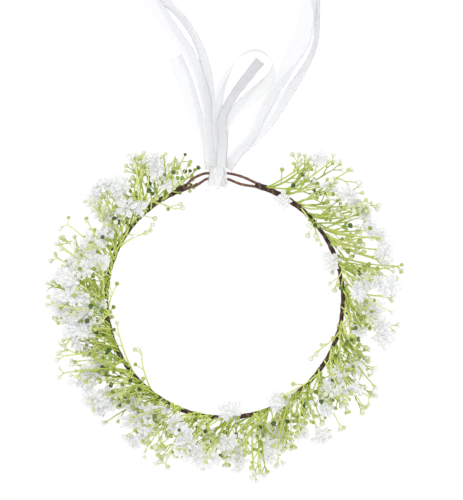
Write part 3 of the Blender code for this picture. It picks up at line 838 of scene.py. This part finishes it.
def bud_twig(bunch, start, heading, length, radius, size, tone, stem_tone):
    """A thin twig that swells into a bud."""
    dice = bunch.dice
    side, rise = square_to(heading)
    bow = side * dice.uniform(-1, 1) + rise * dice.uniform(-1, 1)
    line, radii, buds, tones = [], [], [], []
    for step in range(5):
        s = step / 4
        line.append(start + heading * length * s + bow * length * 0.10 * math.sin(math.pi * s * 0.5) * s)
        radii.append(radius * (1.25 - 0.35 * s if step else 1.0))
        buds.append(0.0)
        tones.append(stem_tone)
    out = (line[-1] - line[-2]).normalized()
    foot = line[-1]
    for share, fullness in BUD_PROFILE:
        line.append(foot + out * size * BUD_LENGTH * share)
        radii.append(max(size * fullness, radius * 0.9))
        buds.append(ease((share - 0.05) / 0.25))
        tones.append(mix(mix(stem_tone, 0.5, 0.5), tone, ease(share / 0.4)))
    line.append(foot + out * size * BUD_LENGTH)
    radii.append(0)
    buds.append(1.0)
    tones.append(tone)
    sweep(bunch.stems, line, radii, STEM_SIDES, bud=buds, tone=tones)


def fork(bunch, start, heading, length, radius, levels, tone):
    """A twig that forks, levels times over, into ends that carry buds."""
    dice = bunch.dice
    end = bunch.kept_in(start + heading * length)
    heading = (end - start).normalized()
    length = (end - start).length
    side, rise = square_to(heading)
    bow = side * dice.uniform(-1, 1) + rise * dice.uniform(-1, 1)
    line = []
    for step in range(6):
        s = step / 5
        line.append(start + heading * length * s + bow * length * 0.09 * math.sin(math.pi * s))
    radii = [radius, radius * 1.15, radius, radius * 0.92, radius * 0.95, radius * 0.5]
    sweep(bunch.stems, line, radii, STEM_SIDES, tone=[tone] * 6)
    end = line[-2]
    children = dice.choice((2, 2, 3, 3))
    first = dice.uniform(0, math.tau)
    for child in range(children):
        turn = first + math.tau * child / children + dice.uniform(-0.4, 0.4)
        spread = dice.uniform(0.35, 0.85)
        away = heading + (side * math.cos(turn) + rise * math.sin(turn)) * spread
        away = (away + bunch.outward * 0.12 + UP * 0.05).normalized()
        if levels > 1:
            fork(bunch, end, away, length * dice.uniform(0.5, 0.75), radius * 0.88, levels - 1, tone)
        else:
            reach = min(length, 9 * MM) * dice.uniform(0.45, 0.9)
            bud(bunch, end, away, reach, radius * 0.8, tone)


def bud(bunch, start, heading, length, radius, stem_tone):
    """A bud on its twig: deep green near the hoop, frosted toward the rim, with some of each anywhere."""
    dice = bunch.dice
    end = start + heading * length
    rim = (end.xy.length - HOOP_RADIUS) / (38 * MM)
    if rim < -0.1:
        rim = 0.6 - rim
    tone = 0.38 + 0.50 * rim + dice.gauss(0, 0.20)
    size = dice.uniform(1.30, 1.85) * MM * (1.25 if tone > 0.8 else 1)
    if dice.random() < 0.12 - 0.20 * rim:
        tone = dice.uniform(0.04, 0.27)
        size = dice.uniform(1.6, 2.2) * MM
    if bunch.kept_in(end) != end:
        away = bunch.kept_in(end) - start
        heading = away.normalized()
    bud_twig(bunch, start, heading, length, radius, size, min(max(tone, 0), 1), stem_tone)


def side_heading(bunch, line, index):
    """A direction off a stem, to any side of it."""
    dice = bunch.dice
    ahead = (line[index + 1] - line[index - 1]).normalized()
    side, rise = square_to(ahead)
    turn = dice.uniform(0, math.tau)
    angle = math.radians(dice.uniform(28, 58))
    away = side * math.cos(turn) + rise * math.sin(turn)
    return (ahead * math.cos(angle) + away * math.sin(angle)).normalized()


def green_stem(bunch, root, tip, twigs, sag=0.0):
    """A whole moulded stem and the twigs along it. Gives its centre line and its tone."""
    dice = bunch.dice
    line = stem_line(bunch, root, tip, STEM_STEPS, sag)
    tone = dice.uniform(0.05, 1.05)
    places = sorted(dice.sample(range(4, STEM_STEPS - 1), twigs))
    stem(bunch, line, STEM_FOOT, STEM_TIP, tone, [place / STEM_STEPS for place in places])
    for place in places:
        heading = side_heading(bunch, line, place)
        if dice.random() < 0.55:
            fork(bunch, line[place], heading, dice.uniform(6, 11) * MM, STEM_TIP, 1, tone)
        else:
            bud(bunch, line[place], heading, dice.uniform(4, 9) * MM, 0.38 * MM, tone)
    return line, tone


# --- blossoms ---

# Layers of petals from the outside in: count, length and half width over the diameter, and lift and curl in
# degrees
PETAL_LAYERS = (
    (8, 0.60, 0.145, 4, 0),
    (6, 0.47, 0.150, 22, 2),
    (4, 0.28, 0.120, 44, 6),
)
PETAL_ROWS = 5
PETAL_COLUMNS = 8
PETAL_THICKNESS = 0.14 * MM
SCALLOP_DEPTH = 0.15  # over the petal's length


def petal(form, foot, facing, outdir, length, half, lift, curl, dice):
    """One cut petal: a rounded fan with a scalloped rim, cupped and a little ruffled."""
    side = facing.cross(outdir)
    notch, ripple = dice.uniform(0, math.tau), dice.uniform(0, math.tau)
    lobes = dice.uniform(0.9, 1.8)
    tone = dice.random()
    lean = math.radians(lift + dice.uniform(-20, 18))
    bend = math.radians(curl + dice.uniform(-8, 8))
    last_row = None
    for row in range(PETAL_ROWS + 1):
        t = row / PETAL_ROWS
        ring = []
        for column in range(PETAL_COLUMNS + 1):
            u = 2 * column / PETAL_COLUMNS - 1
            scallop = SCALLOP_DEPTH * abs(math.sin(lobes * math.pi * u / 2 + notch)) * t * t
            reach = t * (1 - 0.26 * u * u - scallop)
            angle = lean - bend * reach
            spread = half * (0.20 + 0.80 * t**0.75) * u
            ruffle = length * t * t * (0.05 * math.sin(1.8 * math.pi * u + ripple) - 0.06 * u * u)
            out = length * reach * math.cos(angle) - ruffle * math.sin(angle)
            height = length * reach * math.sin(angle) + ruffle * math.cos(angle)
            place = foot + outdir * out + side * spread + facing * height
            ring.append(form.corner(place, edge=reach, tone=tone))
        if last_row is not None:
            form.bridge(last_row, ring, closed=False)
        last_row = ring


def blossom(form, centre, facing, diameter, dice):
    """A double flower: three layers of cut petals, the inner ones standing up round the heart."""
    side, other = square_to(facing)
    start = dice.uniform(0, math.tau)
    for layer, (count, length, half, lift, curl) in enumerate(PETAL_LAYERS):
        foot = centre + facing * (0.04 * layer * diameter)
        for index in range(count):
            turn = start + math.tau * (index + 0.5 * (layer % 2)) / count + dice.uniform(-0.24, 0.24)
            outdir = side * math.cos(turn) + other * math.sin(turn)
            size = diameter * dice.uniform(0.80, 1.22)
            petal(form, foot, facing, outdir, size * length, size * half, lift, curl, dice)


def calyx(bunch, centre, facing, size):
    """The green cup that a blossom sits in."""
    line = [centre - facing * size * share for share in (1.5, 1.2, 0.8, 0.45, 0.2, 0.0)]
    radii = [0, 0.45 * size, 0.55 * size, 0.8 * size, 1.0 * size, 0]
    sweep(bunch.stems, line, radii, STEM_SIDES, tone=[0.6] * 6)


# Where blossoms sit: x and y from the middle of the head opening, and diameter, in millimetres
BLOSSOMS = (
    (-52, 99, 18), (-42, 88, 14), (-82, 87, 18), (-98, 75, 17), (-75, 71, 19), (-86, 56, 16),
    (-101, 41, 19), (-98, 28, 16), (-120, 18, 18), (-115, 5, 18), (-122, -7, 18), (-105, -9, 19),
    (-105, -22, 16), (-112, -33, 16), (-101, -58, 20), (-100, -73, 16), (-97, -84, 16), (-80, -76, 20),
    (-70, -92, 17), (-60, -103, 18), (-55, -86, 18), (-30, -101, 19), (-21, -115, 20), (1, -109, 19),
    (11, -127, 14), (31, -98, 19), (35, -112, 18), (77, -66, 21), (95, -68, 16), (77, -82, 13),
    (100, -51, 15), (72, -103, 14), (57, -98, 14), (119, -29, 17), (114, -10, 18), (101, -23, 11),
    (76, 112, 13), (81, 85, 15), (93, 80, 15), (100, 72, 14), (122, 75, 14), (110, 53, 17),
    (125, 40, 16), (106, 12, 18), (127, 8, 17),
)
# Stems that lean into the head opening: degrees round the hoop and distance from its middle in millimetres
INWARD_STEMS = ((118, 76), (137, 76), (175, 83), (-165, 83), (-148, 73), (-31, 78), (32, 84), (-56, 84))
LARGE_BLOSSOM = 16  # millimetres; from this size up, smaller blossoms stand beside it
FACING_TILT = 0.95
# The blossoms over the hoop: how far they lean inward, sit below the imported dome's middle, and spread past it
HOOP_BLOSSOM_LEAN = 0.3
HOOP_BLOSSOM_SINK = 2.4 * MM
HOOP_BLOSSOM_SPREAD = 1.15
HOOP_BLOSSOM_SEED = 880


def facing_of(bunch, dice, place):
    """Which way a blossom looks: up and a little outward, never the same twice."""
    lean = mix(0.05, 0.55, min(max((place.xy.length - HOOP_RADIUS) / (45 * MM), 0), 1))
    tilt = Vector((dice.uniform(-FACING_TILT, FACING_TILT), dice.uniform(-FACING_TILT, FACING_TILT), 0))
    return (UP + bunch.outward * lean + tilt).normalized()


def add_blossom(bunch, place, diameter):
    """A blossom at this place, or at the rim if it lies past it, on a stem of its own."""
    dice = bunch.dice
    place.xy *= min(1, (RIM - diameter * 0.7) / place.xy.length)
    facing = facing_of(bunch, dice, place)
    seat = place - facing * diameter * 0.16
    line, _ = green_stem(bunch, bunch.root(), seat - facing * 2.2 * MM, dice.choice((1, 2)))
    neck = [line[-2], line[-1], seat - facing * 1.0 * MM, seat]
    sweep(bunch.stems, neck, [0.4 * MM, 0.46 * MM, 0.5 * MM, 0.4 * MM], STEM_SIDES, tone=[0.6] * 4)
    calyx(bunch, seat, facing, 1.3 * MM)
    blossom(bunch.petals, seat, facing, diameter, dice)


def nearest_bunch(bunches, angle):
    """The bunch whose stems, leaning clockwise, reach this angle in degrees."""

    def gap(bunch):
        return abs((bunch.turn - ROOT_LEAD - angle + 180) % 360 - 180)

    return min(bunches, key=gap)


def spray(bunch):
    """The stems of a bunch that end in buds only."""
    dice = bunch.dice
    for _ in range(8 if bunch.cover < 0.5 else 7):
        lead, reach = dice.uniform(6, 34) * MM, dice.uniform(2, 42) * MM
        rise = dice.uniform(-16, 20) * MM
        root = bunch.root()
        tip = bunch.kept_in(root + bunch.clockwise * lead + bunch.outward * reach + UP * rise)
        line, tone = green_stem(bunch, root, tip, 2, dice.uniform(0, 2) * MM)
        ahead = (line[-1] - line[-3]).normalized()
        fork(bunch, line[-2], ahead, dice.uniform(4, 7) * MM, 0.42 * MM, 1, tone)


def clasp(bunch):
    """Short stems that lie across the tape where a bunch covers the hoop."""
    dice = bunch.dice
    for _ in range(round(7 * bunch.cover)):
        lead, reach = dice.uniform(-6, 12) * MM, dice.uniform(4, 14) * MM
        around = math.radians(dice.uniform(120, 190))
        out = bunch.outward * math.cos(around) + UP * math.sin(around)
        root = bunch.centre + bunch.clockwise * dice.uniform(-11, 11) * MM + out * (TAPE_RADIUS + 0.5 * MM)
        rise = UP * dice.uniform(2, 7) * MM
        tip = bunch.kept_in(root + bunch.clockwise * lead + bunch.outward * reach + rise)
        line = stem_line(bunch, root, tip, 8, 1.6 * MM)
        tone = dice.uniform(0.1, 0.8)
        stem(bunch, line, 0.72 * MM, 0.46 * MM, tone)
        ahead = (line[-1] - line[-3]).normalized()
        bud(bunch, line[-2], ahead, dice.uniform(3, 6) * MM, 0.40 * MM, tone)


def inward_stem(bunch, place):
    """A stray stem that crosses the hoop and ends in a bud over the head opening."""
    dice = bunch.dice
    line = stem_line(bunch, bunch.root(), place, STEM_STEPS, 2 * MM)
    tone = dice.uniform(0.7, 1.0)
    stem(bunch, line, 0.60 * MM, 0.40 * MM, tone)
    for index in (8, 11):
        heading = side_heading(bunch, line, index)
        bud(bunch, line[index], heading, dice.uniform(5, 8) * MM, 0.36 * MM, tone)
    ahead = (line[-1] - line[-3]).normalized()
    bud(bunch, line[-2], ahead, 4 * MM, 0.38 * MM, tone)


def polar(degrees, distance, height):
    """A place round the head opening: its distance is in millimetres, its height in metres."""
    turn = math.radians(degrees)
    return Vector((math.cos(turn) * distance * MM, math.sin(turn) * distance * MM, height))


def sprigs(stem_material, petal_material):
    """Every bunch: its blossoms first, then stray stems, then its spray of buds."""
    bunches = [Bunch(number) for number in range(1, SPRIG_COUNT + 1)]
    for x, y, diameter in BLOSSOMS:
        bunch = nearest_bunch(bunches, math.degrees(math.atan2(y, x)))
        dice = bunch.dice
        place = Vector((x * MM, y * MM, HOOP_HEIGHT + dice.uniform(1, 17) * MM))
        add_blossom(bunch, place, diameter * MM)
        turn = dice.uniform(0, math.tau)
        beside = round(0.6 + bunch.cover * 1.5) if diameter >= LARGE_BLOSSOM else 0
        for _ in range(beside):
            turn += dice.uniform(2, 4)
            away = Vector((math.cos(turn), math.sin(turn), dice.uniform(-0.7, 0.3))) * diameter * 0.55 * MM
            add_blossom(bunch, bunch.kept_in(place + away), diameter * dice.uniform(0.66, 0.88) * MM)
    for degrees, distance in INWARD_STEMS:
        bunch = nearest_bunch(bunches, degrees)
        inward_stem(bunch, polar(degrees, distance, HOOP_HEIGHT + bunch.dice.uniform(3, 11) * MM))
    for bunch in bunches:
        spray(bunch)
        clasp(bunch)
        number = f"{bunch.number:02d}"
        bunch.stems.piece(f"sprig_bunch_{number}", stem_material, "crown", "stem", [f"sprig_{number}"])
        flower = [f"flower_{number}"]
        bunch.petals.piece(f"blossoms_{number}", petal_material, "crown", "petal", flower, PETAL_THICKNESS)


def hoop_blossoms(petal_material):
    """The four blossoms that lie over the hoop itself."""
    for number in range(1, 5):
        node = f"hoop_flower_{number}"
        low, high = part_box(node)
        dice = random.Random(HOOP_BLOSSOM_SEED + number)
        form = Form("edge", "tone")
        middle = (low + high) / 2
        inward = Vector((-middle.x, -middle.y, 0)).normalized()
        facing = (UP + inward * HOOP_BLOSSOM_LEAN).normalized()
        seat = middle - facing * HOOP_BLOSSOM_SINK
        blossom(form, seat, facing, (high.x - low.x) * HOOP_BLOSSOM_SPREAD, dice)
        form.piece(f"hoop_blossom_{number}", petal_material, "crown", "petal", [node], PETAL_THICKNESS)


# --- table, light and camera ---

TABLE_HALF = 1.6
ROOM_LIGHT = 1.02
LAMP_SIZE = 0.9
# Name, place and watts of each lamp
LAMPS = (("key_light", (-0.5, 0.5, 1.5), 3.6), ("fill_light", (0.7, -0.4, 1.3), 1.2))
LAMP_AIM = Vector((0, 0, 0.02))
CAMERA_RISE = 1.2  # above the hoop
CAMERA_PLACE = (0.0052, 0.0372)
COVERED = 0.377  # height of the picture, at the hoop
SENSOR = 36


def studio():
    """The light table, an even white room, two soft lamps, and a camera that looks straight down."""
    half = TABLE_HALF
    corners = [(-half, -half, 0), (half, -half, 0), (half, half, 0), (-half, half, 0)]
    mesh = bpy.data.meshes.new("floor")
    mesh.from_pydata(corners, [], [(0, 1, 2, 3)])
    mesh.materials.append(floor_finish())
    floor = bpy.data.objects.new("floor", mesh)
    bpy.context.scene.collection.objects.link(floor)
    world = bpy.data.worlds.new("soft_room")
    world.use_nodes = True
    world.node_tree.nodes["Background"].inputs["Color"].default_value = (1, 1, 1, 1)
    world.node_tree.nodes["Background"].inputs["Strength"].default_value = ROOM_LIGHT
    bpy.context.scene.world = world
    for name, place, energy in LAMPS:
        lamp = bpy.data.lights.new(name, "AREA")
        lamp.energy = energy
        lamp.size = LAMP_SIZE
        holder = bpy.data.objects.new(name, lamp)
        holder.location = place
        holder.rotation_euler = (LAMP_AIM - Vector(place)).to_track_quat("-Z", "Y").to_euler()
        bpy.context.scene.collection.objects.link(holder)
    view = bpy.data.cameras.new("camera")
    view.sensor_fit = "VERTICAL"
    view.sensor_height = SENSOR
    view.lens = SENSOR * CAMERA_RISE / COVERED
    camera = bpy.data.objects.new("camera", view)
    camera.location = (*CAMERA_PLACE, CAMERA_RISE + HOOP_HEIGHT)
    bpy.context.scene.collection.objects.link(camera)
    bpy.context.scene.camera = camera
    bpy.context.scene.view_settings.view_transform = "Standard"


tape = tape_finish("brown_tape", (0.026, 0.013, 0.010), (0.085, 0.046, 0.034), (0.190, 0.130, 0.100))
loop_paper = tape_finish("loop_paper", (0.110, 0.045, 0.028), (0.200, 0.100, 0.068), (0.340, 0.210, 0.160))
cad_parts["hoop_wire"].data.materials.clear()
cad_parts["hoop_wire"].data.materials.append(steel_finish())
hoop(tape)
binding("left_binding_coil", LEFT_BINDING, "left_binding", tape)
binding("right_binding_coil", RIGHT_BINDING, "right_binding", tape)
wire_loop("left_wire_loop", LEFT_BINDING, -1, "left_eyelet", loop_paper)
wire_loop("right_wire_loop", RIGHT_BINDING, 1, "right_eyelet", loop_paper)
sheer = organza_finish("organza", 0.58, 0.76)
own_finish = {
    "small_loop": organza_finish("organza_standing", 0.64, 0.82),
    # the short right tail: more opaque where doubled, and a darker copy with painted shade for its shadowed
    # fold
    "short_tail_right": organza_finish("organza_doubled_shaded", 0.84, 0.92, 0.87),
}
for strand_name, strand_rows in RIBBON_ROUTES.items():
    strand(strand_name, strand_rows, own_finish.get(strand_name, sheer))
knot(organza_finish("organza_knot", 0.60, 0.80))
petals = petal_finish()
sprigs(sprig_finish(), petals)
hoop_blossoms(petals)
studio()
